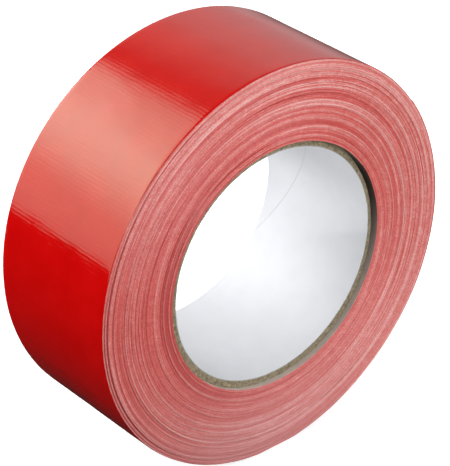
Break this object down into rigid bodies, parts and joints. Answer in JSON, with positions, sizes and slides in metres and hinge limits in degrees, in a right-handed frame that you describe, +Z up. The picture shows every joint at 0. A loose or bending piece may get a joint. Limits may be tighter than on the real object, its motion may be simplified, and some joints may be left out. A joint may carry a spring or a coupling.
{
  "type": "duct tape roll",
  "caption": "Roll of cloth-backed duct tape wound on a paperboard core, standing on its rim, with a free end that peels off the outermost turn.",
  "frame": {"origin": "centre of the core's bore, halfway across the tape's width", "axes": "+Y along the roll's axis from its front face to its back face, +Z up with the roll standing on its rim, +X to the right seen from the front"},
  "size_m": [0.1317, 0.048, 0.1313],
  "materials": {
    "tape_film": "glossy red polyethylene film with the cloth's weave showing faintly through it",
    "tape_scrim": "open cloth of fine off-white threads",
    "tape_adhesive": "soft tacky off-white rubber adhesive",
    "wound_tape_edges": "edges of the wound turns, pinkish red with uneven fine rings",
    "core_board": "grey-brown chipboard with rough cut ends",
    "liner_paper": "smooth white paper"
  },
  "bodies": {
    "roll": {"core_liner": "liner_paper", "core_ply_1": "core_board", "core_ply_2": "core_board", "core_ply_3": "core_board", "core_ply_4": "core_board", "core_ply_5": "core_board", "wound_turns": "wound_tape_edges", "outer_turn_film": "tape_film", "outer_turn_scrim": "tape_scrim", "outer_turn_adhesive": "tape_adhesive"},
    "free_end_link_1": {"free_end_film_1": "tape_film", "free_end_scrim_1": "tape_scrim", "free_end_adhesive_1": "tape_adhesive"},
    "free_end_link_2": {"free_end_film_2": "tape_film", "free_end_scrim_2": "tape_scrim", "free_end_adhesive_2": "tape_adhesive"},
    "free_end_link_3": {"free_end_film_3": "tape_film", "free_end_scrim_3": "tape_scrim", "free_end_adhesive_3": "tape_adhesive"},
    "free_end_link_4": {"free_end_film_4": "tape_film", "free_end_scrim_4": "tape_scrim", "free_end_adhesive_4": "tape_adhesive"},
    "free_end_link_5": {"free_end_film_5": "tape_film", "free_end_scrim_5": "tape_scrim", "free_end_adhesive_5": "tape_adhesive"},
    "free_end_link_6": {"free_end_film_6": "tape_film", "free_end_scrim_6": "tape_scrim", "free_end_adhesive_6": "tape_adhesive"}
  },
  "joints": [
    {"name": "peel_1", "type": "hinge", "parent": "roll", "child": "free_end_link_1", "pos_m": [0.05262, 0, -0.03962], "axis": [0, 1, 0], "range_deg": [0, 16]},
    {"name": "peel_2", "type": "hinge", "parent": "free_end_link_1", "child": "free_end_link_2", "pos_m": [0.05971, 0, -0.02781], "axis": [0, 1, 0], "range_deg": [0, 16]},
    {"name": "peel_3", "type": "hinge", "parent": "free_end_link_2", "child": "free_end_link_3", "pos_m": [0.0642, 0, -0.01479], "axis": [0, 1, 0], "range_deg": [0, 16]},
    {"name": "peel_4", "type": "hinge", "parent": "free_end_link_3", "child": "free_end_link_4", "pos_m": [0.06588, 0, -0.00112], "axis": [0, 1, 0], "range_deg": [0, 16]},
    {"name": "peel_5", "type": "hinge", "parent": "free_end_link_4", "child": "free_end_link_5", "pos_m": [0.06468, 0, 0.0126], "axis": [0, 1, 0], "range_deg": [0, 16]},
    {"name": "peel_6", "type": "hinge", "parent": "free_end_link_5", "child": "free_end_link_6", "pos_m": [0.06065, 0, 0.02577], "axis": [0, 1, 0], "range_deg": [0, 16]}
  ],
  "couplings": [
    {"joint": "peel_2", "follows": "peel_1", "ratio": 1},
    {"joint": "peel_3", "follows": "peel_1", "ratio": 1},
    {"joint": "peel_4", "follows": "peel_1", "ratio": 1},
    {"joint": "peel_5", "follows": "peel_1", "ratio": 1},
    {"joint": "peel_6", "follows": "peel_1", "ratio": 1}
  ]
}
